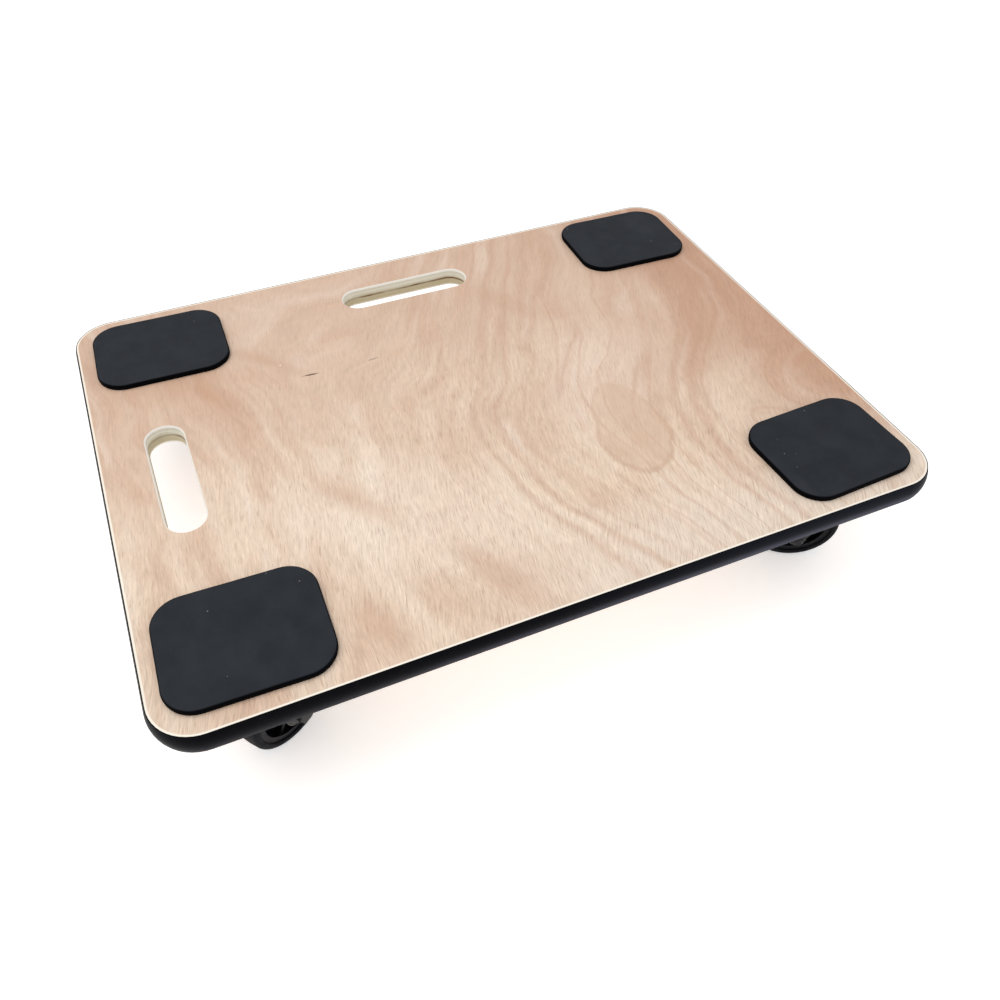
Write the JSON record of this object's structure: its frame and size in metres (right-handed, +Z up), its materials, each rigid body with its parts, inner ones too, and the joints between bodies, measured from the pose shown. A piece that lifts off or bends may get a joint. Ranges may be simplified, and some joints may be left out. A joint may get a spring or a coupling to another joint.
{
  "type": "furniture dolly",
  "caption": "Low plywood furniture dolly with a black edge band, rubber corner pads, hand holes and swivel casters.",
  "frame": {"origin": "on the floor, under the middle of the deck", "axes": "+Z up; +X along the deck's length, so that the hand holes are on the -X and +Y sides"},
  "size_m": [0.605, 0.46, 0.118],
  "materials": {
    "deck_wood": "sanded, lightly sealed",
    "band_plastic": "satin",
    "pad_rubber": "matte",
    "plate_paint": "satin powder coat",
    "yoke_paint": "satin powder coat",
    "screw_zinc": "zinc plated",
    "kingpin_steel": "bare, oiled",
    "cup_zinc": "zinc plated",
    "ball_steel": "ground",
    "bolt_black": "black oxide",
    "washer_black": "black oxide",
    "nut_black": "black oxide",
    "sleeve_steel": "turned",
    "core_plastic": "moulded satin",
    "tread_rubber": "moulded, worn on the tread",
    "bush_plastic": "black nylon"
  },
  "bodies": {
    "frame": {"deck": "deck_wood", "edge_band": "band_plastic", "pad_front_left": "pad_rubber", "pad_front_right": "pad_rubber", "pad_rear_left": "pad_rubber", "pad_rear_right": "pad_rubber", "top_plate_front_left": "plate_paint", "top_plate_front_right": "plate_paint", "top_plate_rear_left": "plate_paint", "top_plate_rear_right": "plate_paint", "screws_front_left": "screw_zinc", "screws_front_right": "screw_zinc", "screws_rear_left": "screw_zinc", "screws_rear_right": "screw_zinc", "kingpin_front_left": "kingpin_steel", "kingpin_front_right": "kingpin_steel", "kingpin_rear_left": "kingpin_steel", "kingpin_rear_right": "kingpin_steel", "race_cup_front_left": "cup_zinc", "race_cup_front_right": "cup_zinc", "race_cup_rear_left": "cup_zinc", "race_cup_rear_right": "cup_zinc"},
    "caster_front_left": {"yoke_front_left": "yoke_paint", "swivel_balls_front_left": "ball_steel", "axle_bolt_front_left": "bolt_black", "axle_washers_front_left": "washer_black", "axle_nut_front_left": "nut_black", "axle_sleeve_front_left": "sleeve_steel"},
    "wheel_front_left": {"wheel_core_front_left": "core_plastic", "tread_front_left": "tread_rubber", "hub_bushes_front_left": "bush_plastic"},
    "caster_front_right": {"yoke_front_right": "yoke_paint", "swivel_balls_front_right": "ball_steel", "axle_bolt_front_right": "bolt_black", "axle_washers_front_right": "washer_black", "axle_nut_front_right": "nut_black", "axle_sleeve_front_right": "sleeve_steel"},
    "wheel_front_right": {"wheel_core_front_right": "core_plastic", "tread_front_right": "tread_rubber", "hub_bushes_front_right": "bush_plastic"},
    "caster_rear_left": {"yoke_rear_left": "yoke_paint", "swivel_balls_rear_left": "ball_steel", "axle_bolt_rear_left": "bolt_black", "axle_washers_rear_left": "washer_black", "axle_nut_rear_left": "nut_black", "axle_sleeve_rear_left": "sleeve_steel"},
    "wheel_rear_left": {"wheel_core_rear_left": "core_plastic", "tread_rear_left": "tread_rubber", "hub_bushes_rear_left": "bush_plastic"},
    "caster_rear_right": {"yoke_rear_right": "yoke_paint", "swivel_balls_rear_right": "ball_steel", "axle_bolt_rear_right": "bolt_black", "axle_washers_rear_right": "washer_black", "axle_nut_rear_right": "nut_black", "axle_sleeve_rear_right": "sleeve_steel"},
    "wheel_rear_right": {"wheel_core_rear_right": "core_plastic", "tread_rear_right": "tread_rubber", "hub_bushes_rear_right": "bush_plastic"}
  },
  "joints": [
    {"name": "swivel_front_left", "type": "hinge", "parent": "frame", "child": "caster_front_left", "pos_m": [-0.194, -0.1525, 0.09], "axis": [0, 0, 1], "continuous": true},
    {"name": "roll_front_left", "type": "hinge", "parent": "caster_front_left", "child": "wheel_front_left", "pos_m": [-0.22114, -0.16946, 0.0375], "axis": [0.5299, -0.848, 0], "continuous": true},
    {"name": "swivel_front_right", "type": "hinge", "parent": "frame", "child": "caster_front_right", "pos_m": [0.194, -0.1525, 0.09], "axis": [0, 0, 1], "continuous": true},
    {"name": "roll_front_right", "type": "hinge", "parent": "caster_front_right", "child": "wheel_front_right", "pos_m": [0.22225, -0.16752, 0.0375], "axis": [0.4695, 0.8829, 0], "continuous": true},
    {"name": "swivel_rear_left", "type": "hinge", "parent": "frame", "child": "caster_rear_left", "pos_m": [-0.194, 0.1525, 0.09], "axis": [0, 0, 1], "continuous": true},
    {"name": "roll_rear_left", "type": "hinge", "parent": "caster_rear_left", "child": "wheel_rear_left", "pos_m": [-0.20902, 0.18075, 0.0375], "axis": [-0.8829, -0.4695, 0], "continuous": true},
    {"name": "swivel_rear_right", "type": "hinge", "parent": "frame", "child": "caster_rear_right", "pos_m": [0.194, 0.1525, 0.09], "axis": [0, 0, 1], "continuous": true},
    {"name": "roll_rear_right", "type": "hinge", "parent": "caster_rear_right", "child": "wheel_rear_right", "pos_m": [0.22367, 0.16449, 0.0375], "axis": [-0.3746, 0.9272, 0], "continuous": true}
  ]
}
